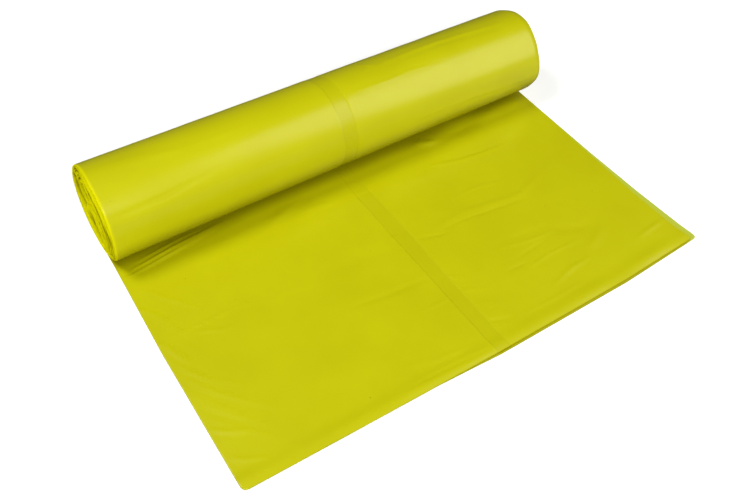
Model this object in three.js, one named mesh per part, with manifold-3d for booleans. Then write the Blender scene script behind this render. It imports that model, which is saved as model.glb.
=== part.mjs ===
// A roll of gusset-folded polyethylene recycling sacks. It lies on its side on a level surface, and the
// first sack is partly unrolled and lies flat in front of it. The whole roll is one web of film: each
// sack is a tube whose two sides are tucked in, so the web has four plies, and only two in the narrow
// band down its middle. It was wound on a flat spindle that has been pulled out, so the hollow that is
// left in its middle is a collapsed, pinched slit.
//
// The origin is on the resting surface, below the middle of the roll. The roll's axis runs along X, the
// unrolled sack runs towards -Y, and +Z is up. Millimetres.

import * as THREE from "three";
import { mergeVertices } from "three/addons/utils/BufferGeometryUtils.js";
import Module from "manifold-3d";

// The folded web.
const sackFlatWidth = 700; // one sack pressed flat, before its sides are tucked in
const gussetGap = 10.5; // between the edges of the two tucked-in sides
const webThickness = 1.2; // four plies and the air between them, as the web lies

// The wound part.
const rollDiameter = 67;
const restWidth = 9; // the soft roll lies flat over this width
const shoulderReach = 1.6; // the inner turns stand out past the web's edge by this much
const shoulderInset = 2.4; // and start this far in from the roll's surface

// The hollow that the spindle left.
const hollowLength = 25;
const hollowHeight = 7;
const waistHeight = 2.6; // the hollow's height at the pinch in its middle
const waistLength = 5; // from the pinch to where it has mostly opened out
const hollowTilt = THREE.MathUtils.degToRad(46);

// The edges of the turns, shown on both ends as one spiral groove between bundles of turns.
const grooveWidth = 0.9;
const grooveDepth = 2.2;
const closestPitch = 1.5; // between neighbouring grooves, where they run closest
const rimBundle = 2.6; // from the shoulder in to the first groove
const coreBundle = 4; // from the last groove in to the hollow

// The unrolled stretch of the first sack.
const leafReach = 203; // from below the roll's axis to the left front corner
const frontSkew = 4.5; // the right front corner lies this much further forward
const frontBow = 3.5; // the front edge stands forward of a straight line by this much
const flareLeft = 7; // the front corners spread past the roll's ends
const flareRight = 4;
const cornerRadius = 4;

// How finely the curves are drawn.
const surfaceSegments = 72;
const hollowSegments = 40;
const grooveSegments = 36; // in each turn

const webWidth = (sackFlatWidth + gussetGap) / 2;
const rollRadius = rollDiameter / 2;
const restHalfAngle = Math.asin(restWidth / 2 / rollRadius);
const axisHeight = rollRadius * Math.cos(restHalfAngle);

const wasm = await Module();
wasm.setup();

function solidFrom(geometry) {
  const bare = geometry.clone();
  bare.deleteAttribute("normal");
  bare.deleteAttribute("uv");
  const merged = mergeVertices(bare);
  return new wasm.Manifold(
    new wasm.Mesh({
      numProp: 3,
      vertProperties: merged.attributes.position.array,
      triVerts: new Uint32Array(merged.index.array),
    }),
  );
}

function geometryFrom(solid) {
  const mesh = solid.getMesh();
  const geometry = new THREE.BufferGeometry();
  geometry.setAttribute("position", new THREE.BufferAttribute(mesh.vertProperties, 3));
  geometry.setIndex(new THREE.BufferAttribute(mesh.triVerts, 1));
  geometry.computeVertexNormals();
  return geometry;
}

// Extrudes a section drawn in (Y, Z) along X, from startX.
function alongX(section, startX, options) {
  const turn = new THREE.Matrix4().makeBasis(
    new THREE.Vector3(0, 1, 0),
    new THREE.Vector3(0, 0, 1),
    new THREE.Vector3(1, 0, 0),
  );
  return new THREE.ExtrudeGeometry(section, options).applyMatrix4(turn).translate(startX, 0, 0);
}

// The roll's surface at an angle from +Y, flat where it rests.
function surfacePoint(angle) {
  const y = rollRadius * Math.cos(angle);
  const z = axisHeight + rollRadius * Math.sin(angle);
  return new THREE.Vector2(y, Math.max(z, 0));
}

// The wall of the hollow at the same angle, tilted and pinched in the middle.
function hollowPoint(angle) {
  const along = (hollowLength / 2) * Math.cos(angle - hollowTilt);
  const pinch = (hollowHeight - waistHeight) * Math.exp(-((along / waistLength) ** 2));
  const across = ((hollowHeight - pinch) / 2) * Math.sin(angle - hollowTilt);
  return new THREE.Vector2(along, across)
    .rotateAround(new THREE.Vector2(), hollowTilt)
    .add(new THREE.Vector2(0, axisHeight));
}

// The corners where the round surface meets the flat that it rests on start and end this outline.
function surfaceOutline() {
  const start = -Math.PI / 2 + restHalfAngle;
  const sweep = 2 * (Math.PI - restHalfAngle);
  return Array.from({ length: surfaceSegments + 1 }, (_, i) =>
    surfacePoint(start + (i / surfaceSegments) * sweep),
  );
}

function hollowOutline() {
  return Array.from({ length: hollowSegments }, (_, i) =>
    hollowPoint((-i / hollowSegments) * 2 * Math.PI),
  );
}

function woundTurns() {
  const section = new THREE.Shape(surfaceOutline());
  section.holes.push(new THREE.Path(hollowOutline()));
  return solidFrom(
    alongX(section, -webWidth / 2, {
      depth: webWidth,
      bevelThickness: shoulderReach,
      bevelSize: shoulderInset,
      bevelOffset: -shoulderInset,
      bevelSegments: 2,
    }),
  );
}

// A spiral from the rim bundle in to the core bundle. It follows the roll's surface at its outer end
// and the hollow at its inner end.
function spiralGroove() {
  const first = shoulderInset + rimBundle;
  const last = shoulderInset + coreBundle;
  const narrowest = rollRadius - hollowLength / 2 - first - last;
  const turns = Math.max(1, Math.floor(narrowest / closestPitch));
  const steps = turns * grooveSegments;
  const outer = [];
  const inner = [];
  for (let i = 0; i <= steps; i += 1) {
    const angle = (i / grooveSegments) * 2 * Math.PI;
    const surface = surfacePoint(angle);
    const inward = hollowPoint(angle).sub(surface);
    const depth = first + (inward.length() - first - last) * (i / steps);
    inward.normalize();
    outer.push(surface.clone().addScaledVector(inward, depth - grooveWidth / 2));
    inner.push(surface.clone().addScaledVector(inward, depth + grooveWidth / 2));
  }
  return new THREE.Shape([...outer, ...inner.reverse()]);
}

function endGrooves() {
  const groove = spiralGroove();
  const endX = webWidth / 2 + shoulderReach;
  const options = { depth: 2 * grooveDepth, bevelEnabled: false };
  return [-endX, endX].map((x) => solidFrom(alongX(groove, x - grooveDepth, options)));
}

// The unrolled stretch seen from above. It starts under the roll, at the back of the flat.
function leafOutline() {
  const half = webWidth / 2;
  const backLeft = new THREE.Vector2(-half, restWidth / 2);
  const backRight = new THREE.Vector2(half, restWidth / 2);
  const left = new THREE.Vector2(-half - flareLeft, -leafReach);
  const right = new THREE.Vector2(half + flareRight, -leafReach - frontSkew);
  const bend = left.clone().lerp(right, 0.5).sub(new THREE.Vector2(0, 2 * frontBow));
  const towards = (from, to) => from.clone().add(to.clone().sub(from).setLength(cornerRadius));
  const leftSide = towards(left, backLeft);
  const leftFront = towards(left, bend);
  const rightFront = towards(right, bend);
  const rightSide = towards(right, backRight);
  return new THREE.Shape()
    .moveTo(backRight.x, backRight.y)
    .lineTo(backLeft.x, backLeft.y)
    .lineTo(leftSide.x, leftSide.y)
    .quadraticCurveTo(left.x, left.y, leftFront.x, leftFront.y)
    .quadraticCurveTo(bend.x, bend.y, rightFront.x, rightFront.y)
    .quadraticCurveTo(right.x, right.y, rightSide.x, rightSide.y);
}

function unrolledLeaf() {
  const options = { depth: webThickness, bevelEnabled: false };
  return solidFrom(new THREE.ExtrudeGeometry(leafOutline(), options));
}

const film = new THREE.MeshStandardMaterial({ color: 0xcccc0c, roughness: 0.35, metalness: 0 });

function sackRoll() {
  const [leftGroove, rightGroove] = endGrooves();
  const turns = woundTurns().subtract(leftGroove).subtract(rightGroove);
  const mesh = new THREE.Mesh(geometryFrom(turns.add(unrolledLeaf())), film);
  mesh.name = "sack_roll";
  return mesh;
}

const group = new THREE.Group();
group.add(sackRoll());

export default group;
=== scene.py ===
import math

import bmesh
import bpy
import numpy as np
from mathutils import Matrix, Vector, noise


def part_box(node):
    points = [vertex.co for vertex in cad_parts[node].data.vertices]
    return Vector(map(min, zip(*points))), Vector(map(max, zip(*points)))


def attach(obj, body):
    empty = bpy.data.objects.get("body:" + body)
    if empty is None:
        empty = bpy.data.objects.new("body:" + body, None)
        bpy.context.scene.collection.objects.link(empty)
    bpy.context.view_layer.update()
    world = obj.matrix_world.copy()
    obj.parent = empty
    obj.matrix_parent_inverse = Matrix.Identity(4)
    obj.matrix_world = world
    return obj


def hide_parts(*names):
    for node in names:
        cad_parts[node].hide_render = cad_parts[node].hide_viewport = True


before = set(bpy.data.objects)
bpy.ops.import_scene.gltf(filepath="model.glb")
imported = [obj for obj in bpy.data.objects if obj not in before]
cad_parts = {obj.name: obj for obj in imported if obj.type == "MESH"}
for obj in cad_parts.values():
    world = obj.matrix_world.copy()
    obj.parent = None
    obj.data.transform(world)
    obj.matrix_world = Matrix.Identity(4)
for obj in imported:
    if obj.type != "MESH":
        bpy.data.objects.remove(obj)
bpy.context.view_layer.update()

mm = 0.001
sharpFold = math.radians(50)  # a crease between faces stays sharp from here
lowCorner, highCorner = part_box("sack_roll")
rollRadius = highCorner.y / mm
axisHeight = highCorner.z / mm - rollRadius

web = {
    "width": 355.25,  # a 700 mm sack with its two sides tucked in
    "gapLeft": -6.5,  # edges of the two tucked-in sides, as the band shows on the roll
    "gapRight": 4.5,
    "step": 0.2,  # how far the top ply sinks between them
    "bandShade": 0.06,  # the band has two plies under it instead of four, so it looks duller
    # Painted shadow: a tucked edge's shadow shows through the top ply as a thin line.
    "lineShade": 0.07,  # a tucked edge shows through as a thin line
    "lineWidth": 0.4,
    "rightLine": 0.3,  # the right edge's line is this much of the left one's
}
halfWidth = web["width"] / 2

view = {
    "place": (-276.9, -403.3, 441.6),
    "yaw": 39.62,  # from +Y towards +X
    "pitch": 47.94,  # down
    "roll": 5.88,
    "focalPixels": 869.7,
    "frameWidth": 750,
    "sensor": 36,
}


def makeCamera():
    yaw, pitch, roll = (math.radians(view[key]) for key in ("yaw", "pitch", "roll"))
    ahead = Vector((math.sin(yaw) * math.cos(pitch), math.cos(yaw) * math.cos(pitch), -math.sin(pitch)))
    level = Vector((math.cos(yaw), -math.sin(yaw), 0))
    upright = level.cross(ahead)
    right = math.cos(roll) * level + math.sin(roll) * upright
    up = math.cos(roll) * upright - math.sin(roll) * level
    data = bpy.data.cameras.new("camera")
    data.sensor_width = view["sensor"]
    data.lens = view["focalPixels"] * view["sensor"] / view["frameWidth"]
    camera = bpy.data.objects.new("camera", data)
    turn = Matrix((right, up, -ahead)).transposed().to_4x4()
    camera.matrix_world = Matrix.Translation(Vector(view["place"]) * mm) @ turn
    bpy.context.scene.collection.objects.link(camera)
    bpy.context.scene.camera = camera


makeCamera()
print("camera set")


# Shared helpers
def linear(hexColor):
    parts = [int(hexColor[i : i + 2], 16) / 255 for i in (1, 3, 5)]
    return tuple(c / 12.92 if c <= 0.04045 else ((c + 0.055) / 1.055) ** 2.4 for c in parts) + (1,)


def addNode(tree, kind, inputs=None, **settings):
    node = tree.nodes.new(kind)
    for key, value in settings.items():
        setattr(node, key, value)
    for key, value in (inputs or {}).items():
        if isinstance(value, bpy.types.NodeSocket):
            tree.links.new(value, node.inputs[key])
        else:
            node.inputs[key].default_value = value
    return node


def smoothStep(value, start, end):
    share = np.clip((value - start) / (end - start), 0, 1)
    return share * share * (3 - 2 * share)


def softNoise(x, y, size, seed):
    flat = [noise.noise((a / size, b / size, seed)) for a, b in zip(x.ravel(), y.ravel())]
    return np.array(flat).reshape(x.shape)


def waves(rows, x, y):
    # Slow waves in the film, from rows of (height, size, squeeze along y, seed).
    return sum(height * softNoise(x, squeeze * y, size, seed) for height, size, squeeze, seed in rows)


def lineThrough(points, value):
    # Reads a line of (place, offset) points at the given places.
    order = sorted(points)
    return np.interp(value, [p[0] for p in order], [p[1] for p in order])


def spacedStops(spans, fineAt):
    # Stops at each span's own gap, (start, end, gap), with a few closer ones beside the fineAt places.
    beside = (0.3, 0.8, 1.5)
    stops = set()
    for start, end, gap in spans:
        count = max(1, round(abs(end - start) / gap))
        stops |= {round(float(stop), 2) for stop in np.linspace(start, end, count + 1)}
    lowest, highest = min(stops), max(stops)
    for place in fineAt:
        stops = {stop for stop in stops if abs(stop - place) > beside[-1] or stop == place}
        stops |= {place} | {round(place + way * offset, 2) for offset in beside for way in (-1, 1)}
    return np.array(sorted(stop for stop in stops if lowest <= stop <= highest))


def gridFaces(rows, columns):
    # Quads between neighbouring rows. The last column is joined to the first.
    faces = []
    for i in range(rows - 1):
        for j in range(columns):
            k = (j + 1) % columns
            faces.append((i * columns + j, i * columns + k, (i + 1) * columns + k, (i + 1) * columns + j))
    return faces


def addTint(mesh, tint, amounts):
    layer = mesh.attributes.new(tint, "FLOAT", "POINT")
    layer.data.foreach_set("value", amounts.astype(np.float32).ravel())


def makeObject(name, points, faces, material, uv, tints):
    mesh = bpy.data.meshes.new(name)
    mesh.from_pydata((points.reshape(-1, 3) * mm).tolist(), [], faces)
    layer = mesh.uv_layers.new(name="webMap")
    corners = np.array([loop.vertex_index for loop in mesh.loops])
    layer.data.foreach_set("uv", (uv.reshape(-1, 2)[corners] * mm).astype(np.float32).ravel())
    for tint, amounts in tints.items():
        addTint(mesh, tint, amounts)
    mesh.materials.append(material)
    mesh.validate()
    mesh.shade_smooth()
    piece = bpy.data.objects.new(name, mesh)
    bpy.context.scene.collection.objects.link(piece)
    return piece


def applyModifiers(piece):
    # The modifiers' result becomes the piece's own mesh.
    bpy.context.view_layer.update()
    graph = bpy.context.evaluated_depsgraph_get()
    mesh = bpy.data.meshes.new_from_object(piece.evaluated_get(graph))
    piece.modifiers.clear()
    piece.data = mesh
    mesh.set_sharp_from_angle(angle=sharpFold)


def strokeHeight(x, y, stroke):
    # A ridge or valley of film through the stroke's points, fading out at both ends.
    ease = 0.6
    points = np.array(stroke["through"], float)
    steps = np.linalg.norm(np.diff(points, axis=0), axis=1)
    along = np.concatenate([[0], np.cumsum(steps)])
    nearest = np.full(x.shape, np.inf)
    place = np.zeros(x.shape)
    for i, length in enumerate(steps):
        direction = (points[i + 1] - points[i]) / length
        share = np.clip((x - points[i, 0]) * direction[0] + (y - points[i, 1]) * direction[1], 0, length)
        gap = np.hypot(x - points[i, 0] - direction[0] * share, y - points[i, 1] - direction[1] * share)
        closer = gap < nearest
        nearest = np.where(closer, gap, nearest)
        place = np.where(closer, along[i] + share, place)
    fade = np.sin(np.pi * np.clip(place / along[-1], 0, 1)) ** ease
    return stroke["height"] * fade * np.exp(-((nearest / stroke["width"]) ** 2))


# Film: low-density polyethylene, blown as a tube and pigmented yellow. Blowing leaves it glossy with a
# slight haze, so lights reflect with soft edges. It has a faint mottle, fine die lines along the web
# and a few dark gel specks. At the roll's ends the edges of many plies hardly reflect, and a painted
# glow makes them brighter. Painted shade turns the film deep olive where plies part and in nooks.
film = {
    "color": "#c5c302",
    "deep": "#c1be01",
    # Painted glow: the ply ends are brighter than the film, standing in for light that comes through their
    # edges. They are matt too.
    "plyEndsGlow": "#dcd806",
    # Painted shade in deep olive: in the gaps between plies, under the roll, under the front edge and along
    # the tucked edges' lines.
    "shadeOlive": "#5c4a00",  # in the gaps between plies
    "pale": "#c3d04b",  # one ply alone on the white floor
    "speck": "#5f5a06",
    "roughness": 0.28,
    "ior": 1.51,  # polyethylene
    "gloss": 0.5,
    "endGloss": 0.0,
    "mottleSize": 38,
    "mottleRange": (0.3, 0.7),  # of the noise, from deep to plain yellow
    "grainSize": 6,
    "grainDepth": 0.22,
    "grainStrength": 0.4,
    "lineSpacing": 1.6,  # real die lines are finer, and are drawn this coarse to show
    "lineLength": 90,
    "lineDepth": 0.012,
    "speckSpacing": 17,
    "speckSize": 0.52,
}


def makeFilm():
    material = bpy.data.materials.new("blownPolyethyleneFilm")
    material.use_nodes = True
    tree = material.node_tree
    tree.nodes.clear()
    place = addNode(tree, "ShaderNodeUVMap", uv_map="webMap").outputs["UV"]
    mottleScale = 1 / (film["mottleSize"] * mm)
    mottle = addNode(tree, "ShaderNodeTexNoise", {"Vector": place, "Scale": mottleScale, "Detail": 3.0})
    low, high = film["mottleRange"]
    share = addNode(tree, "ShaderNodeMapRange", {"Value": mottle.outputs[0], 1: low, 2: high}).outputs[0]
    yellows = {0: share, 6: linear(film["deep"]), 7: linear(film["color"])}
    color = addNode(tree, "ShaderNodeMix", yellows, data_type="RGBA").outputs[2]
    speckScale = 1 / (film["speckSpacing"] * mm)
    cells = addNode(tree, "ShaderNodeTexVoronoi", {"Vector": place, "Scale": speckScale})
    reach = film["speckSize"] / film["speckSpacing"]
    nearSpeck = {"Value": cells.outputs["Distance"], 1: reach, 2: 0.0, 3: 0.0, 4: 1.0}
    speck = addNode(tree, "ShaderNodeMapRange", nearSpeck).outputs[0]
    # Painted shade and the ply ends' painted glow come in through these attributes.
    shade = addNode(tree, "ShaderNodeAttribute", attribute_name="shade").outputs["Fac"]
    pale = addNode(tree, "ShaderNodeAttribute", attribute_name="pale").outputs["Fac"]
    plyEndsGlow = addNode(tree, "ShaderNodeAttribute", attribute_name="plyEndsGlow").outputs["Fac"]
    glossRange = {"Value": plyEndsGlow, 3: film["gloss"], 4: film["endGloss"]}
    gloss = addNode(tree, "ShaderNodeMapRange", glossRange).outputs[0]
    for amount, tone in ((pale, "pale"), (plyEndsGlow, "plyEndsGlow"), (speck, "speck"), (shade, "shadeOlive")):
        tones = {0: amount, 6: color, 7: linear(film[tone])}
        color = addNode(tree, "ShaderNodeMix", tones, data_type="RGBA").outputs[2]
    stretch = (1 / (film["lineSpacing"] * mm), 1 / (film["lineLength"] * mm), 1)
    stretched = addNode(tree, "ShaderNodeVectorMath", {0: place, 1: stretch}, operation="MULTIPLY")
    linePattern = {"Vector": stretched.outputs[0], "Scale": 1.0, "Detail": 2.0}
    lines = addNode(tree, "ShaderNodeTexNoise", linePattern).outputs[0]
    grainPattern = {"Vector": place, "Scale": 1 / (film["grainSize"] * mm), "Detail": 3.0}
    grain = addNode(tree, "ShaderNodeTexNoise", grainPattern).outputs[0]
    dieLines = {"Distance": film["lineDepth"] * mm, "Height": lines}
    lined = addNode(tree, "ShaderNodeBump", dieLines).outputs[0]
    grained = {"Distance": film["grainDepth"] * mm, "Strength": film["grainStrength"], "Height": grain}
    surface = addNode(tree, "ShaderNodeBump", {**grained, "Normal": lined}).outputs[0]
    shader = addNode(
        tree,
        "ShaderNodeBsdfPrincipled",
        {
            "Base Color": color,
            "Roughness": film["roughness"],
            "IOR": film["ior"],
            "Specular IOR Level": gloss,
            "Normal": surface,
        },
    )
    addNode(tree, "ShaderNodeOutputMaterial", {"Surface": shader.outputs[0]})
    return material


filmYellow = makeFilm()
print("film made")


# Wound turns: one long strip of web, wound from under the outer turn in to the hollow.
winding = {
    "turns": 38,  # the real web is thinner and has more
    "steps": 90,  # in each turn
    "columns": 12,  # across the web, crowded towards its edges
    "start": 0.95,  # below the roll's surface
    "thickness": 0.42,
    "slitLength": 25,
    "slitHeight": 7,
    "waistHeight": 2.6,
    "waistLength": 5,
    "tilt": 46,
    "wander": 0.9,  # of the edges, along the roll
    "coreWander": 3.0,
    "flutter": 0.4,  # of the edges, in and out
    "waveSize": 0.62,  # of the wander, in radii
    "uvTurn": 126,  # web length in a middle turn
    "crowding": 3.0,  # of the columns
    "edgeOnly": 60.0,  # the power that keeps the wander to the edges
    "coreOnly": 5.0,  # and the power that keeps the core's own wander to the core
    "turnRoam": 0.6,  # from one turn to the next, in the noise
    "endRoam": 7.3,  # from one end to the other
    "rippleScale": 2.7,  # finer than the wander by this much
    "narrower": 1.2,  # than the outer turn
}
# Each step makes one number from two others, named or given.
windingSteps = [
    ("along", "ADD", "gridY", 0.5),  # 0 at the outer turn, 1 at the hollow
    ("turn", "MULTIPLY", "along", "Turns"),
    ("swept", "MULTIPLY", "turn", math.tau),
    ("angle", "SUBTRACT", "swept", math.pi / 2),
    ("cosine", "COSINE", "angle", 0.0),
    ("sine", "SINE", "angle", 0.0),
    # Columns crowd towards both edges of the web.
    ("size", "ABSOLUTE", "gridX", 0.0),
    ("side", "SIGN", "gridX", 0.0),
    ("fromEdge", "SUBTRACT", 1.0, "size"),
    ("inset", "POWER", "fromEdge", winding["crowding"]),
    ("outset", "SUBTRACT", 1.0, "inset"),
    ("across", "MULTIPLY", "side", "outset"),
    ("atEdge", "POWER", "outset", winding["edgeOnly"]),
    ("halfWidth", "MULTIPLY", "Width", 0.5),
    ("plainX", "MULTIPLY", "across", "halfWidth"),
    # Wall of the hollow at this angle: a slot with a narrow waist, turned by the tilt.
    ("tilted", "SUBTRACT", "angle", "Tilt"),
    ("slotCosine", "COSINE", "tilted", 0.0),
    ("slotSine", "SINE", "tilted", 0.0),
    ("halfLength", "MULTIPLY", "Slit Length", 0.5),
    ("slotAlong", "MULTIPLY", "halfLength", "slotCosine"),
    ("ratio", "DIVIDE", "slotAlong", "Waist Length"),
    ("ratioSquared", "MULTIPLY", "ratio", "ratio"),
    ("fall", "MULTIPLY", "ratioSquared", -1.0),
    ("bell", "EXPONENT", "fall", 0.0),
    ("narrowing", "SUBTRACT", "Slit Height", "Waist Height"),
    ("pinch", "MULTIPLY", "narrowing", "bell"),
    ("slotHeight", "SUBTRACT", "Slit Height", "pinch"),
    ("halfHeight", "MULTIPLY", "slotHeight", 0.5),
    ("slotAcross", "MULTIPLY", "halfHeight", "slotSine"),
    ("tiltCosine", "COSINE", "Tilt", 0.0),
    ("tiltSine", "SINE", "Tilt", 0.0),
    ("alongY", "MULTIPLY", "slotAlong", "tiltCosine"),
    ("acrossY", "MULTIPLY", "slotAcross", "tiltSine"),
    ("wallY", "SUBTRACT", "alongY", "acrossY"),
    ("alongZ", "MULTIPLY", "slotAlong", "tiltSine"),
    ("acrossZ", "MULTIPLY", "slotAcross", "tiltCosine"),
    ("wallZ", "ADD", "alongZ", "acrossZ"),
    # Each turn lies between the roll's surface and the hollow.
    ("roundY", "MULTIPLY", "Radius", "cosine"),
    ("roundZ", "MULTIPLY", "Radius", "sine"),
    ("leadY", "SUBTRACT", "wallY", "roundY"),
    ("leadZ", "SUBTRACT", "wallZ", "roundZ"),
    ("partY", "MULTIPLY", "leadY", "along"),
    ("partZ", "MULTIPLY", "leadZ", "along"),
    ("turnY", "ADD", "roundY", "partY"),
    ("turnZ", "ADD", "roundZ", "partZ"),
    # Place in the noise: the two ends of the roll differ.
    ("sideStep", "MULTIPLY", "side", winding["endRoam"]),
    ("roamY", "MULTIPLY", "cosine", "Wave Size"),
    ("roamZ", "MULTIPLY", "sine", "Wave Size"),
    ("roamTurn", "MULTIPLY", "turn", winding["turnRoam"]),
    ("roamEnd", "ADD", "roamTurn", "sideStep"),
]
# After the noise is read: the edges wander along the roll and flutter in and out.
edgeSteps = [
    ("coreShare", "POWER", "along", winding["coreOnly"]),
    ("coreReach", "MULTIPLY", "coreShare", "Core Wander"),
    ("reach", "ADD", "Wander", "coreReach"),
    ("edgeReach", "MULTIPLY", "reach", "atEdge"),
    ("waveMiddle", "SUBTRACT", "wave", 0.5),
    ("wander", "MULTIPLY", "waveMiddle", "edgeReach"),
    ("signedWander", "MULTIPLY", "wander", "side"),
    ("x", "ADD", "plainX", "signedWander"),
    ("rippleMiddle", "SUBTRACT", "ripple", 0.5),
    ("flutterEdge", "MULTIPLY", "Flutter", "atEdge"),
    ("flutter", "MULTIPLY", "rippleMiddle", "flutterEdge"),
    ("flutterY", "MULTIPLY", "flutter", "cosine"),
    ("flutterZ", "MULTIPLY", "flutter", "sine"),
    ("y", "SUBTRACT", "turnY", "flutterY"),
    ("lowZ", "SUBTRACT", "turnZ", "flutterZ"),
    ("z", "ADD", "lowZ", "Axis Height"),
    ("mapY", "MULTIPLY", "turn", "Map Turn"),
]
windingInputs = {
    "Radius": (rollRadius - winding["start"]) * mm,
    "Slit Length": winding["slitLength"] * mm,
    "Slit Height": winding["slitHeight"] * mm,
    "Waist Height": winding["waistHeight"] * mm,
    "Waist Length": winding["waistLength"] * mm,
    "Tilt": math.radians(winding["tilt"]),
    "Width": (web["width"] - winding["narrower"]) * mm,
    "Wander": winding["wander"] * mm,
    "Core Wander": winding["coreWander"] * mm,
    "Flutter": winding["flutter"] * mm,
    "Wave Size": 1 / winding["waveSize"],
    "Axis Height": axisHeight * mm,
    "Map Turn": winding["uvTurn"] * mm,
    "Turns": float(winding["turns"]),
    "Columns": winding["columns"],
    "Rows": winding["turns"] * winding["steps"] + 1,
    "Material": filmYellow,
}


def runSteps(tree, found, steps):
    for name, operation, first, second in steps:
        pair = {0: found.get(first, first), 1: found.get(second, second)}
        found[name] = addNode(tree, "ShaderNodeMath", pair, operation=operation).outputs[0]


def windingTree():
    tree = bpy.data.node_groups.new("windWeb", "GeometryNodeTree")
    sockets = tree.interface
    sockets.new_socket(name="Geometry", in_out="OUTPUT", socket_type="NodeSocketGeometry")
    kinds = {float: "NodeSocketFloat", int: "NodeSocketInt"}
    for name, value in windingInputs.items():
        kind = kinds.get(type(value), "NodeSocketMaterial")
        sockets.new_socket(name=name, in_out="INPUT", socket_type=kind)
    given = addNode(tree, "NodeGroupInput").outputs
    found = {socket.name: socket for socket in given if socket.name}
    gridSize = {"Size X": 2.0, "Size Y": 1.0, "Vertices X": given["Columns"], "Vertices Y": given["Rows"]}
    grid = addNode(tree, "GeometryNodeMeshGrid", gridSize)
    here = addNode(tree, "GeometryNodeInputPosition").outputs[0]
    split = addNode(tree, "ShaderNodeSeparateXYZ", {0: here}).outputs
    found["gridX"], found["gridY"] = split["X"], split["Y"]
    runSteps(tree, found, windingSteps)
    roam = {0: found["roamY"], 1: found["roamZ"], 2: found["roamEnd"]}
    lookup = addNode(tree, "ShaderNodeCombineXYZ", roam).outputs[0]
    for name, scale in (("wave", 1.0), ("ripple", winding["rippleScale"])):
        pattern = {"Vector": lookup, "Scale": scale, "Detail": 3.0}
        found[name] = addNode(tree, "ShaderNodeTexNoise", pattern).outputs[0]
    runSteps(tree, found, edgeSteps)
    place = addNode(tree, "ShaderNodeCombineXYZ", {0: found["x"], 1: found["y"], 2: found["z"]}).outputs[0]
    wound = {"Geometry": grid.outputs["Mesh"], "Position": place}
    moved = addNode(tree, "GeometryNodeSetPosition", wound).outputs[0]
    uv = addNode(tree, "ShaderNodeCombineXYZ", {0: found["x"], 1: found["mapY"]}).outputs[0]
    mapped = addNode(
        tree,
        "GeometryNodeStoreNamedAttribute",
        {"Geometry": moved, "Name": "webMap", "Value": uv},
        data_type="FLOAT2",
        domain="CORNER",
    ).outputs[0]
    real = addNode(tree, "GeometryNodeRealizeInstances", {0: mapped}).outputs[0]
    smooth = addNode(tree, "GeometryNodeSetShadeSmooth", {"Geometry": real}).outputs[0]
    finish = {"Geometry": smooth, "Material": given["Material"]}
    dressed = addNode(tree, "GeometryNodeSetMaterial", finish).outputs[0]
    addNode(tree, "NodeGroupOutput", {0: dressed})
    return tree


# How far the turns stand out past the roll's left end: (depth under the surface, reach).
# The outer turns step out to a crest, with a parting in it, and the core is drawn in.
endReach = [
    (0, 1.2),
    (4.4, 2.8),
    (5.4, 0.9),
    (6.4, 2.6),
    (7.2, 3.3),
    (9, 3.2),
    (13, 2.2),
    (20, 0.7),
    (28, 0),
]
crest = {
    "rise": (58, 112),  # angles between which it grows and shrinks
    "fall": (188, 232),
    "leftEnd": (-175, -160),  # x between which the left end's own marks fade out
    "coreDepth": 17,
    "coreDraw": 2.2,
    "inner": 0.7,  # light fades between the turns, from and to these distances inside their edges
    "innerFrom": (0.9, 2.6),
    # Painted shade, as light is lost between turns that are wound a little looser.
    "looseShade": 0.8,  # on turns that are wound a little looser
    "looseDraw": 1.0,
    "looseSize": 1.6,  # in turns
    "looseAngle": 38,
    "looseSeed": 4.4,
    "looseRange": (0.08, 0.5),  # of the noise
    "lineFade": 24,  # degrees over which a dark line fades at its ends
}
# Gaps in the left end with painted shade in them, as (y, z) strokes: how dark the painted shade is, and how
# far the film is drawn back in them.
endGaps = [
    {"through": [(27, 43), (24, 35), (14, 28)], "width": 3.0, "height": 1.0, "draw": 1.8},
    {"through": [(18, 46), (11, 44), (4, 39), (-1, 34)], "width": 2.0, "height": 0.95, "draw": 1.4},
    {"through": [(13, 25), (6, 17), (-2, 11)], "width": 3.0, "height": 1.0, "draw": 1.8},
    {"through": [(30, 46), (27, 45), (22, 46)], "width": 1.9, "height": 0.9, "draw": 0.9},
    {"through": [(26, 42), (24, 41), (21, 40)], "width": 1.4, "height": 0.9, "draw": 0.6},
    {"through": [(19, 63), (17, 62), (15, 62)], "width": 1.3, "height": 0.9, "draw": 0.6},
    {"through": [(22, 57), (20, 56), (18, 55)], "width": 1.3, "height": 0.9, "draw": 0.6},
    {"through": [(3, 13), (-1, 11), (-6, 11)], "width": 1.8, "height": 0.45, "draw": 0.3},
]
# Lines of painted shade between the outer turns, at a depth under the surface and from angle to angle.
turnLines = [
    {"depth": 5.9, "from": 60, "to": 236, "width": 1.0, "dark": 1.0},
    {"depth": 1.9, "from": 156, "to": 240, "width": 0.45, "dark": 0.8},
    {"depth": 3.4, "from": 140, "to": 240, "width": 0.4, "dark": 0.8},
]


def frontFacing(degrees):
    # 1 over the front of the roll, where the left end stands out, and 0 at the back.
    return smoothStep(degrees, *crest["rise"]) * (1 - smoothStep(degrees, *crest["fall"]))


def looseTurns(depth, angle):
    # Where the turns lie loose, from 0 to 1. Turns go from round at the surface to the hollow's shape.
    lean = np.radians(angle - winding["tilt"])
    halfLong, halfHigh = winding["slitLength"] / 2, winding["slitHeight"] / 2
    hollow = 1 / np.hypot(np.cos(lean) / halfLong, np.sin(lean) / halfHigh)
    turn = winding["turns"] * depth / (rollRadius - hollow)
    pattern = softNoise(turn, angle / crest["looseAngle"], crest["looseSize"], crest["looseSeed"])
    return smoothStep(pattern, *crest["looseRange"])


def lineBetween(depth, angle, line):
    bell = np.exp(-(((depth - line["depth"]) / line["width"]) ** 2)) * line["dark"]
    starts = smoothStep(angle, line["from"], line["from"] + crest["lineFade"])
    ends = smoothStep(angle, line["to"] - crest["lineFade"], line["to"])
    return bell * (starts * (1 - ends))


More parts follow.
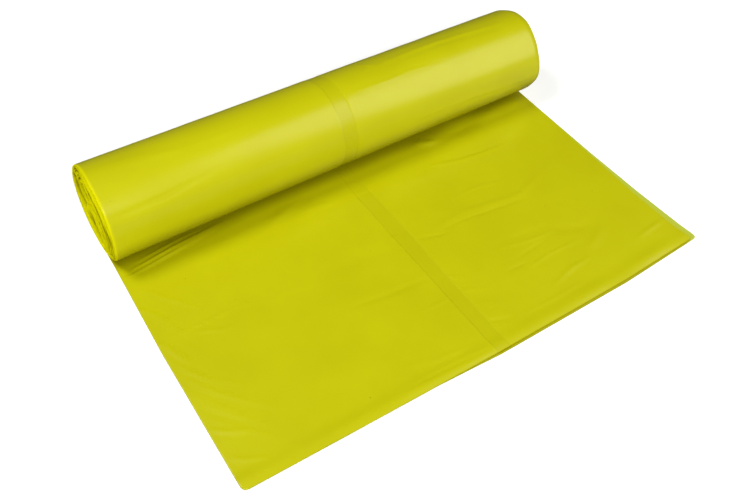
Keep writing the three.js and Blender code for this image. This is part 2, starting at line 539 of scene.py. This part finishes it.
def shapeEnds(piece):
    # Steps the turns out at the left end, where the same turns sit back at the right end.
    mesh = piece.data
    points = np.empty(len(mesh.vertices) * 3)
    mesh.vertices.foreach_get("co", points)
    x, y, z = (points.reshape(-1, 3) / mm).T
    depth = rollRadius - np.hypot(y, z - axisHeight)
    angle = np.degrees(np.arctan2(z - axisHeight, y)) % 360
    atCore = smoothStep(depth, crest["coreDepth"], rollRadius)
    out = lineThrough(endReach, depth) * frontFacing(angle) - crest["coreDraw"] * atCore
    atLeft = 1 - smoothStep(x, *crest["leftEnd"])
    # Painted shade between the turns, in the gaps, on loose turns and along the lines between the outer
    # turns.
    shade = crest["inner"] * smoothStep(halfWidth - np.abs(x), *crest["innerFrom"])
    for gap in endGaps:
        amount = strokeHeight(y, z, gap) * atLeft
        shade = np.maximum(shade, amount)
        out -= amount / gap["height"] * gap["draw"]
    loose = looseTurns(depth, angle)
    shade = np.maximum(shade, crest["looseShade"] * loose)
    out -= crest["looseDraw"] * loose * atLeft
    for line in turnLines:
        shade = np.maximum(shade, lineBetween(depth, angle, line) * atLeft)
    moved = np.stack([x - out, y, z], -1) * mm
    mesh.vertices.foreach_set("co", moved.ravel())
    addTint(mesh, "shade", shade)
    # Painted glow on all the ply ends of the wound turns, which are also matt.
    addTint(mesh, "plyEndsGlow", np.ones(x.shape))
    mesh.update()


def makeWoundTurns():
    tree = windingTree()
    piece = bpy.data.objects.new("wound_turns", bpy.data.meshes.new("wound_turns"))
    bpy.context.scene.collection.objects.link(piece)
    wind = piece.modifiers.new("wind", "NODES")
    wind.node_group = tree
    for item in tree.interface.items_tree:
        if item.in_out == "INPUT":
            wind[item.identifier] = windingInputs[item.name]
    wall = piece.modifiers.new("wall", "SOLIDIFY")
    wall.thickness = winding["thickness"] * mm
    wall.offset = 0
    applyModifiers(piece)
    shapeEnds(piece)
    return piece


woundTurns = makeWoundTurns()
print("wound turns", len(woundTurns.data.polygons))


# Outer turn: from under the roll up the back, over the top and down the front.
outerTurn = {
    "startAngle": -100,
    "endAngle": 268,
    "steps": 190,
    "drop": 0.55,  # the spiral's pitch over this turn
    "thickness": 0.4,
    # The edges are drawn in over the last few millimetres.
    "leftRim": {"drop": 0.3, "width": 1.5},
    # The ply ends' painted glow and matt look fade out between these distances.
    "leftEnd": (0.9, 2.0),  # the ply ends' bright look fades between these distances
    "rightRim": {"drop": 1.3, "width": 6.0},
    "spans": [(-halfWidth, -110, 2.4), (-110, -10, 3.2), (-10, 8, 0.9), (8, halfWidth, 2.0)],
    "waves": [(0.24, 70, 1, 3.7), (0.1, 21, 0.6, 9.1)],
    "leftInset": 0.6,  # of the web's left edge at the top
    "leftBulge": 1.4,  # it stands out by this more at the front of the roll
    "leftReach": -150,
    # How far the right edge stands out at each angle
    "rightEdge": [
        (20, 0),
        (60, 1.2),
        (78, 2.4),
        (104, 2.6),
        (127, 1.2),
        (152, 0.8),
        (172, 1.9),
        (192, 4),
        (206, 4.4),
        (235, 2),
    ],
    "rightReach": 158,
    "edgeInset": 0.15,
    "nook": (178, 212),  # angles where the turn goes down to the unrolled sack
    # Painted shade where the turn goes down to the sack, as little light gets in there.
    "nookShade": 0.4,
    "innerStops": 14,
    "floorGap": 0.12,
}
# Creases on the roll: points are (x, angle), turned to arc length in use.
rollCreases = [
    {"through": [(-178, 147), (-140, 146), (-105, 139)], "width": 2.2, "height": -0.4},
    {"through": [(-178, 85), (-138, 92), (-108, 111)], "width": 3.6, "height": 0.25},
    {"through": [(8, 112), (45, 114), (62, 112), (80, 113), (92, 118)], "width": 1.1, "height": 0.16},
    {"through": [(62, 109), (78, 112), (94, 117)], "width": 0.9, "height": -0.13},
    {"through": [(48, 114), (48, 128)], "width": 0.8, "height": -0.16},
    {"through": [(37, 88), (72, 84), (97, 84), (157, 94)], "width": 2.0, "height": 0.3},
    {"through": [(60, 92), (97, 90), (160, 99)], "width": 1.7, "height": -0.2},
    {"through": [(27, 66), (40, 84), (44, 97)], "width": 1.4, "height": 0.22},
    {"through": [(24, 95), (38, 80), (41, 62)], "width": 1.3, "height": 0.18},
    {"through": [(50, 76), (60, 94)], "width": 1.1, "height": 0.18},
    {"through": [(68, 66), (74, 76), (86, 66)], "width": 1.4, "height": 0.2},
    {"through": [(60, 176), (110, 177), (172, 186)], "width": 1.5, "height": 0.22},
    {"through": [(60, 181), (115, 183), (172, 191)], "width": 1.4, "height": -0.18},
    {"through": [(-16, 60), (-20, 76)], "width": 1.2, "height": 0.18},
    {"through": [(-178, 92), (-125, 100), (-60, 104)], "width": 2.2, "height": 0.14},
    {"through": [(172, 70), (172.5, 130), (172, 205)], "width": 0.9, "height": 0.16},
    # Slanting puckers of the thin band
    {"through": [(-6, 166), (-1, 180), (4, 192)], "width": 0.9, "height": 0.24},
    {"through": [(-6, 178), (0, 190), (4, 203)], "width": 0.9, "height": 0.22},
    {"through": [(-5, 188), (1, 198), (4, 210)], "width": 0.9, "height": 0.22},
    {"through": [(-2, 158), (4, 176)], "width": 0.8, "height": 0.18},
]


def bandOf(x, gapLeft, gapRight):
    # The band between the tucked edges, from 0 to 1, and how dull it looks, with painted shadow along its
    # edge lines.
    soft = web["lineWidth"]
    pastLeft, pastRight = (smoothStep(x, edge - soft, edge + soft) for edge in (gapLeft, gapRight))
    inside = pastLeft * (1 - pastRight)
    leftLine, rightLine = (np.exp(-(((x - edge) / soft) ** 2)) for edge in (gapLeft, gapRight))
    line = leftLine + web["rightLine"] * rightLine
    return inside, inside * web["bandShade"] + line * web["lineShade"]


def rollRelief(x, arc):
    relief = waves(outerTurn["waves"], x, arc)
    for crease in rollCreases:
        through = [(place, math.radians(degrees) * rollRadius) for place, degrees in crease["through"]]
        relief += strokeHeight(x, arc, {**crease, "through": through})
    return relief


def rimDrop(inward, rim):
    # The edge is drawn in towards the turns below it.
    return rim["drop"] * (1 - smoothStep(inward, 0, rim["width"])) ** 2


def shiftedEdges(x, degrees):
    # The left edge stands out at the front of the roll, and the right edge by its own line.
    nearLeft = 1 - smoothStep(x, -halfWidth, outerTurn["leftReach"])
    nearRight = smoothStep(x, outerTurn["rightReach"], halfWidth)
    left = outerTurn["leftInset"] - outerTurn["leftBulge"] * frontFacing(degrees)
    return x + left * nearLeft + lineThrough(outerTurn["rightEdge"], degrees) * nearRight


def makeOuterTurn():
    columnX = spacedStops(outerTurn["spans"], (-halfWidth, web["gapLeft"], web["gapRight"], halfWidth))
    angles = np.radians(np.linspace(outerTurn["startAngle"], outerTurn["endAngle"], outerTurn["steps"] + 1))
    x, angle = np.meshgrid(columnX, angles)
    inside, shade = bandOf(x, web["gapLeft"], web["gapRight"])
    relief = rollRelief(x, angle * rollRadius) - web["step"] * inside
    # The inner side of the turn has few columns.
    innerEdge = halfWidth - outerTurn["edgeInset"]
    xIn, angleIn = np.meshgrid(np.linspace(innerEdge, -innerEdge, outerTurn["innerStops"]), angles)
    allX, allAngle = np.hstack([x, xIn]), np.hstack([angle, angleIn])
    rim = rimDrop(halfWidth + allX, outerTurn["leftRim"]) + rimDrop(halfWidth - allX, outerTurn["rightRim"])
    radius = rollRadius - outerTurn["drop"] * (allAngle - angles[0]) / math.tau - rim
    radius[:, : len(columnX)] += relief
    radius[:, len(columnX) :] -= outerTurn["thickness"]
    height = np.maximum(axisHeight + radius * np.sin(allAngle), outerTurn["floorGap"])
    alongRoll = shiftedEdges(allX, np.degrees(allAngle))
    points = np.stack([alongRoll, radius * np.cos(allAngle), height], -1)
    uv = np.stack([allX, allAngle * rollRadius], -1)
    rows, count = allX.shape
    faces = gridFaces(rows, count)
    # The start and the end of the turn are closed.
    faces.append(tuple(range(count))[::-1])
    faces.append(tuple((rows - 1) * count + j for j in range(count)))
    # Painted shade where the turn goes down to the unrolled sack.
    shade += outerTurn["nookShade"] * smoothStep(np.degrees(angle), *outerTurn["nook"])
    # Painted glow and a matt look on the ply ends at the left edge.
    atLeftEdge = 1 - smoothStep(halfWidth + allX, *outerTurn["leftEnd"])
    tints = {"shade": np.hstack([shade, np.zeros(xIn.shape)]), "plyEndsGlow": atLeftEdge}
    piece = makeObject("outer_turn", points, faces, filmYellow, uv, tints)
    fixNormals(piece)
    return piece


def fixNormals(piece):
    # Every face is turned outwards, once the two long ones are cut into triangles.
    work = bmesh.new()
    work.from_mesh(piece.data)
    bmesh.ops.triangulate(work, faces=[face for face in work.faces if len(face.verts) > 4])
    bmesh.ops.recalc_face_normals(work, faces=work.faces)
    work.to_mesh(piece.data)
    work.free()
    piece.data.set_sharp_from_angle(angle=sharpFold)


outer = makeOuterTurn()
print("outer turn", len(outer.data.polygons))


# Unrolled sack: a tube of film with tucked-in sides, so four plies, lying flat in front of the roll.
leaf = {
    "leftEdge": [(0, -176.2), (-19, -177.0), (-100, -181.9), (-201, -185.4)],  # (y, x)
    "rightUpper": [
        (0, 178.4),
        (-15, 180.5),
        (-50, 179.2),
        (-100, 176.4),
        (-150, 173.7),
        (-190, 173.6),
        (-208, 176.4),
    ],
    "rightLower": [
        (0, 179.0),
        (-15, 181.1),
        (-50, 180.2),
        (-100, 178.9),
        (-150, 178.7),
        (-190, 179.9),
        (-208, 181.5),
    ],
    "gapLeft": [(0, -4.3), (-103, -6.3), (-208, -7.6)],
    "gapRight": [(0, 7.0), (-100, 5.5), (-146, 3.6), (-208, 2.5)],
    "upperFront": [(-185, -203.2), (-100, -205.9), (-7, -208.4), (108, -209.4), (182, -207.5)],  # (x, y)
    "lowerFront": [(-185, -202.6), (-60, -206.4), (-7, -209.9), (108, -211.2), (182, -208.6)],
    "backY": 1.5,
    "length": 205,
    "wall": 0.09,
    "cornerRadius": 3.5,
    "spans": [(-halfWidth, -138, 1.9), (-138, -10, 6.4), (-10, 8, 1.5), (8, 140, 3), (140, halfWidth, 3.4)],
    "gapKnots": (-6, 4),  # the spans meet the tucked edges there
    "plyStops": (0, 0.006, 0.05, 0.35, 0.65, 0.95, 1),  # shares of a ply's width
    "bottomStops": (0, 0.2, 0.35, 0.47, 0.51, 0.65, 0.8, 1),
    "foldStops": (45, 90, 135),  # degrees round each fold
    "frontStops": (0, 0.35, 0.9, 1.7, 2.6),
    "rowGap": 0.95,
    "lowest": -0.5,  # the top ply meets the next one there
    "waves": [(0.45, 95, 1, 1.3), (0.22, 38, 1, 5.9)],
    "rollWaves": [(0.8, 40, 1.6, 8.2)],  # more of them near the roll
    "rollWavesFrom": (-75, -28),
    "curl": 0.6,  # a low ridge behind the front edge
    "curlBack": 5.0,
    "curlWidth": 5.0,
    "curlWaves": [(1.2, 42, 0, 2.2)],
    "bearingInset": 1,  # the roll presses on the sack within its radius, less this
    "clearance": 0.1,
    "pressed": 0.55,  # the least share of its height that a ply keeps there
    # Painted shade under the front edge, where the raised top ply shades the lower plies.
    "lipShade": 0.3,  # under the front edge
    "lipDepth": (1.5, 5),
    "lipFrom": (-90, 10),
    "lipTo": (170, 176),
    "paleFrom": (172, 176),  # the lower plies lie on their own past the top ply
    "bandFade": (-60, -22),  # the puckers by the roll hide the band's dullness
    "nook": (-30, -17),  # where the sack goes in under the roll
    "nookShade": 0.55,
    "nookWaves": [(4, 50, 0, 4.4)],
    "mapStart": 157,  # the film's pattern goes on from the outer turn
}
# Each ply: its height, how much of the top ply's relief it takes, and which front line it ends on.
plies = {
    "top": (1.1, 1.0, 1),
    "upper": (0.55, 0.25, 1),
    "lower": (0.32, 0.1, 0),
    "bottom": (0.1, 0.0, 0),
}
# Round the section: from edge, to edge, ply. Each run folds over into the next.
route = [
    ("left", "rightUpper", "top"),
    ("rightUpper", "gapRight", "upper"),
    ("gapRight", "rightLower", "lower"),
    ("rightLower", "left", "bottom"),
    ("left", "gapLeft", "lower"),
    ("gapLeft", "left", "upper"),
]
leafCreases = [
    # The fan by the roll at the left
    {"through": [(-172, -29), (-140, -25), (-96, -20)], "width": 1.3, "height": 1.2},
    {"through": [(-176, -33), (-140, -28.5), (-100, -22)], "width": 1.2, "height": 0.9},
    {"through": [(-166, -24), (-140, -21), (-112, -18)], "width": 1.3, "height": 0.7},
    {"through": [(-70, -41), (-58, -35), (-45, -29)], "width": 3.0, "height": 0.8},
    {"through": [(-50, -38), (-36, -42), (-22, -47)], "width": 1.5, "height": 0.35},
    {"through": [(65, -23), (74, -29), (83, -31)], "width": 3.2, "height": 1.3},
    {"through": [(84, -20), (104, -27), (126, -24)], "width": 6.5, "height": -0.9},
    {"through": [(125, -30), (150, -22), (172, -24)], "width": 7, "height": 1.0},
    {"through": [(58, -49), (83, -57), (104, -60), (126, -61)], "width": 1.3, "height": 0.45},
    {"through": [(53, -86), (74, -86), (98, -92)], "width": 1.2, "height": 0.3},
    {"through": [(8, -104), (18, -108), (30, -111)], "width": 1.0, "height": -0.5},
    {"through": [(28, -107), (48, -107), (70, -110), (98, -114)], "width": 0.9, "height": -0.4},
    {
        "through": [(22, -103), (50, -101), (72, -105), (100, -109), (135, -97)],
        "width": 2.4,
        "height": 0.34,
    },
    {"through": [(48, -141), (73, -147), (95, -149)], "width": 0.9, "height": 0.26},
    {"through": [(50, -137), (75, -141), (98, -144)], "width": 2.6, "height": -0.2},
    {"through": [(95, -147), (110, -155), (125, -160)], "width": 4.0, "height": -0.35},
    {"through": [(40, -160), (50, -161), (60, -162)], "width": 1.0, "height": -0.3},
    {"through": [(55, -155), (83, -153)], "width": 1.2, "height": -0.25},
    {"through": [(55, -166), (78, -164), (103, -165)], "width": 0.9, "height": 0.26},
    {"through": [(103, -176), (116, -171), (130, -165)], "width": 3.4, "height": 0.4},
    {"through": [(23, -194), (52, -195), (84, -195)], "width": 1.6, "height": 0.16},
    {"through": [(3, -186), (9, -189), (17, -193)], "width": 1.1, "height": -0.45},
    {"through": [(60, -187), (80, -182), (100, -181)], "width": 1.8, "height": 0.35},
    {"through": [(143, -187), (158, -185), (172, -184)], "width": 1.8, "height": 0.4},
    {"through": [(-66, -184), (-42, -192), (-20, -195)], "width": 1.3, "height": 0.35},
    {"through": [(-75, -199), (-40, -201), (-8, -204)], "width": 1.3, "height": -0.35},
    {"through": [(-68, -129), (-36, -134), (-7, -137)], "width": 2.0, "height": -0.35},
    {"through": [(-28, -157), (-7, -158)], "width": 1.1, "height": 0.22},
    {"through": [(3, -142), (9, -147), (16, -152)], "width": 1.1, "height": 0.28},
    {"through": [(4, -157), (12, -161), (21, -166)], "width": 1.1, "height": 0.3},
    {"through": [(5, -170), (12, -174), (21, -181)], "width": 1.1, "height": 0.25},
    {"through": [(-84, -60), (-85, -82), (-82, -102)], "width": 1.8, "height": 0.3},
    {"through": [(-172, -90), (-130, -91), (-88, -91)], "width": 1.2, "height": 0.12},
    {"through": [(-75, -97), (-40, -98), (-8, -103)], "width": 5.0, "height": -0.35},
    # Glossy slanting folds along the left edge
    {"through": [(-172, -46), (-160, -62), (-145, -82)], "width": 1.4, "height": 0.3},
    {"through": [(-181, -58), (-172, -70), (-166, -82)], "width": 1.3, "height": 0.35},
    {"through": [(-180, -90), (-176, -100), (-171, -114)], "width": 1.4, "height": 0.45},
    {"through": [(-158, -94), (-148, -99), (-138, -105)], "width": 1.2, "height": 0.3},
    {"through": [(-181, -118), (-168, -140), (-158, -152), (-142, -170)], "width": 1.1, "height": 0.28},
    {"through": [(-182, -140), (-170, -155), (-152, -176)], "width": 1.0, "height": 0.24},
    {"through": [(-183, -160), (-174, -167), (-164, -173)], "width": 1.4, "height": 0.4},
    {"through": [(-183, -181), (-175, -187), (-163, -193)], "width": 1.2, "height": 0.3},
    {"through": [(-178, -66), (-170, -82), (-160, -96)], "width": 0.9, "height": 0.22},
    {"through": [(-181, -104), (-174, -120), (-163, -138)], "width": 0.9, "height": 0.24},
    {"through": [(-179, -112), (-168, -128), (-150, -146)], "width": 0.8, "height": 0.2},
    {"through": [(-182, -132), (-172, -148), (-160, -164)], "width": 0.9, "height": 0.24},
    {"through": [(-182, -150), (-170, -166), (-154, -184)], "width": 0.9, "height": 0.22},
    # Puckers of the thin band by the roll
    {"through": [(-4, -18), (-2, -30), (-4, -44)], "width": 0.9, "height": 0.35},
    {"through": [(1, -18), (0, -30), (3, -42)], "width": 1.0, "height": 0.4},
    {"through": [(5, -19), (4, -28), (7, -40)], "width": 0.9, "height": 0.3},
    {"through": [(-7, -46), (0, -47), (7, -46)], "width": 1.0, "height": 0.14},
    {"through": [(-9, -94), (-5, -95), (0, -94)], "width": 0.9, "height": 0.2},
]


def leafRelief(x, y):
    relief = waves(leaf["waves"], x, y)
    relief += waves(leaf["rollWaves"], x, y) * smoothStep(y, *leaf["rollWavesFrom"])
    for crease in leafCreases:
        relief += strokeHeight(x, y, crease)
    front = y - lineThrough(leaf["upperFront"], x)
    ridge = leaf["curl"] * np.exp(-(((front - leaf["curlBack"]) / leaf["curlWidth"]) ** 2))
    return relief + ridge * (1 + waves(leaf["curlWaves"], x, y))


def leafSection(edges):
    # Columns round the section: x for each row, with the ply's height, relief share and front line.
    knots = (-halfWidth, *leaf["gapKnots"], halfWidth)
    nominal = spacedStops(leaf["spans"], knots)
    topEdges = zip(edges["left"], edges["gapLeft"], edges["gapRight"], edges["rightUpper"])
    topX = np.array([np.interp(nominal, knots, row) for row in topEdges])
    columns, values = [], []
    for k, (start, end, ply) in enumerate(route):
        if ply == "top":
            columns += list(topX.T)
            values += [plies[ply]] * len(nominal)
        else:
            stops = leaf["bottomStops"] if ply == "bottom" else leaf["plyStops"]
            columns += [edges[start] + share * (edges[end] - edges[start]) for share in stops]
            values += [plies[ply]] * len(stops)
        here = np.array(plies[ply])
        there = np.array(plies[route[(k + 1) % len(route)][2]])
        way = np.sign(edges[end][-1] - edges[start][-1])
        bulge = way * abs(here[0] - there[0]) / 2
        for turn in np.radians(leaf["foldStops"]):
            columns.append(edges[end] + bulge * math.sin(turn))
            values.append(there + (here - there) * (1 + math.cos(turn)) / 2)
    return np.array(columns).T, np.array(values).T


def leafRows():
    # Distances from the front edge, closer together beside it.
    fine = leaf["frontStops"]
    deep = leaf["length"] + leaf["backY"]
    count = round((deep - fine[-1]) / leaf["rowGap"])
    return np.concatenate([fine[:-1], np.linspace(fine[-1], deep, count + 1)])


def leafEdges(distance):
    # The section's edges: x for each row, drawn in round the front corners.
    nominalY = distance - leaf["length"]
    radius = leaf["cornerRadius"]
    inset = radius - np.sqrt(radius**2 - np.maximum(radius - distance, 0) ** 2)
    return {
        "left": lineThrough(leaf["leftEdge"], nominalY) + inset,
        "gapLeft": lineThrough(leaf["gapLeft"], nominalY),
        "gapRight": lineThrough(leaf["gapRight"], nominalY),
        "rightUpper": lineThrough(leaf["rightUpper"], nominalY) - inset,
        "rightLower": lineThrough(leaf["rightLower"], nominalY) - inset,
    }


def pressDown(y, z, height):
    # The roll bears on the sack, which can't rise past the roll's underside.
    resting = rollRadius - outerTurn["drop"]
    underside = axisHeight - np.sqrt(np.maximum(resting**2 - y**2, 0))
    room = np.maximum(underside - leaf["clearance"], height * leaf["pressed"])
    return np.where(np.abs(y) < resting - leaf["bearingInset"], np.minimum(z, room), z)


def leafTints(x, y, distance, dull, onTop, below):
    # Painted shade on the lower plies just under the front edge.
    atFront = (1 - smoothStep(distance, *leaf["lipDepth"]))[:, None]
    lip = atFront * smoothStep(x, *leaf["lipFrom"]) * (1 - smoothStep(x, *leaf["lipTo"]))
    # Little light gets in under the roll, and what does comes through the film.
    nook = leaf["nookShade"] * smoothStep(y + waves(leaf["nookWaves"], x, y), *leaf["nook"])
    band = dull * (1 - smoothStep(y, *leaf["bandFade"]))
    return {
        "shade": (band + nook) * onTop + leaf["lipShade"] * lip * below,
        "pale": smoothStep(x, *leaf["paleFrom"]) * below,
    }


def makeLeaf():
    distance = leafRows()
    edges = leafEdges(distance)
    x, (height, follow, upper) = leafSection(edges)
    upperY, lowerY = (lineThrough(leaf[name], x) for name in ("upperFront", "lowerFront"))
    frontY = upper * upperY + (1 - upper) * lowerY
    share = (distance / distance[-1])[:, None]
    y = frontY * (1 - share) + leaf["backY"] * share
    inside, dull = bandOf(x, edges["gapLeft"][:, None], edges["gapRight"][:, None])
    relief = leafRelief(x, y) - web["step"] * inside
    z = pressDown(y, height + np.maximum(relief, leaf["lowest"]) * follow, height)
    tints = leafTints(x, y, distance, dull, follow == plies["top"][1], upper < 0.5)
    girth = np.cumsum(np.abs(np.diff(x, axis=1, prepend=x[:, :1])), axis=1)
    uv = np.stack([girth - halfWidth, leaf["mapStart"] - y], -1)
    points = np.stack([x, y, z], -1)
    piece = makeObject("unrolled_sack", points, gridFaces(*x.shape), filmYellow, uv, tints)
    wall = piece.modifiers.new("wall", "SOLIDIFY")
    wall.thickness = leaf["wall"] * mm
    wall.offset = 0
    applyModifiers(piece)
    return piece


sack = makeLeaf()
print("unrolled sack", len(sack.data.polygons))

for piece in (woundTurns, outer, sack):
    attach(piece, "root")
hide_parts("sack_roll")


# Studio: a light table for the floor, a strong high light in front on the left, a weak one above the
# left end, and a tall soft box on the right that the roll reflects.
studio = {
    "tableSize": 12000,
    "tableColor": "#f4f4f4",
    "tableRoughness": 0.9,
    "tableGloss": 0.1,
    "tableGlow": 0.38,
    "worldColor": "#ffffff",
    "worldStrength": 0.05,
    "aim": (0, -80, 20),
    # Toward is the azimuth, from the back (+Y) to the right (+X), and the elevation, both seen from the
    # aim. Reach is the distance.
    "lights": [
        {"name": "key", "toward": (203, 42), "reach": 1300, "size": (400, 400), "power": 9.4},
        {"name": "topLight", "toward": (294, 60), "reach": 1000, "size": (300, 300), "power": 4.6},
        {"name": "softBox", "toward": (124, 38), "reach": 800, "size": (650, 1000), "power": 3.1},
    ],
}


def makeTable():
    bpy.ops.mesh.primitive_plane_add(size=studio["tableSize"] * mm, location=(0, 0, -0.0002))
    table = bpy.context.object
    table.name = "floor"
    # The film doesn't mirror the table.
    table.visible_glossy = False
    # White acrylic of a light table: matt, and lit from below, so shadows on it stay faint.
    acrylic = bpy.data.materials.new("litAcrylic")
    acrylic.use_nodes = True
    shader = acrylic.node_tree.nodes["Principled BSDF"]
    shader.inputs["Base Color"].default_value = linear(studio["tableColor"])
    shader.inputs["Roughness"].default_value = studio["tableRoughness"]
    shader.inputs["Specular IOR Level"].default_value = studio["tableGloss"]
    shader.inputs["Emission Color"].default_value = linear(studio["tableColor"])
    shader.inputs["Emission Strength"].default_value = studio["tableGlow"]
    table.data.materials.append(acrylic)


def makeLights():
    world = bpy.data.worlds.new("world")
    bpy.context.scene.world = world
    world.use_nodes = True
    sky = world.node_tree.nodes["Background"]
    sky.inputs[0].default_value = linear(studio["worldColor"])
    sky.inputs[1].default_value = studio["worldStrength"]
    for lamp in studio["lights"]:
        data = bpy.data.lights.new(lamp["name"], "AREA")
        data.shape = "ELLIPSE"
        data.size, data.size_y = (side * mm for side in lamp["size"])
        data.energy = lamp["power"]
        azimuth, elevation = (math.radians(angle) for angle in lamp["toward"])
        level = math.cos(elevation)
        way = Vector((math.sin(azimuth) * level, math.cos(azimuth) * level, math.sin(elevation)))
        place = (Vector(studio["aim"]) + lamp["reach"] * way) * mm
        light = bpy.data.objects.new(lamp["name"], data)
        turn = (-way).to_track_quat("-Z", "Y").to_matrix().to_4x4()
        light.matrix_world = Matrix.Translation(place) @ turn
        bpy.context.scene.collection.objects.link(light)
    bpy.context.scene.view_settings.view_transform = "Standard"


makeTable()
makeLights()
print("studio set")
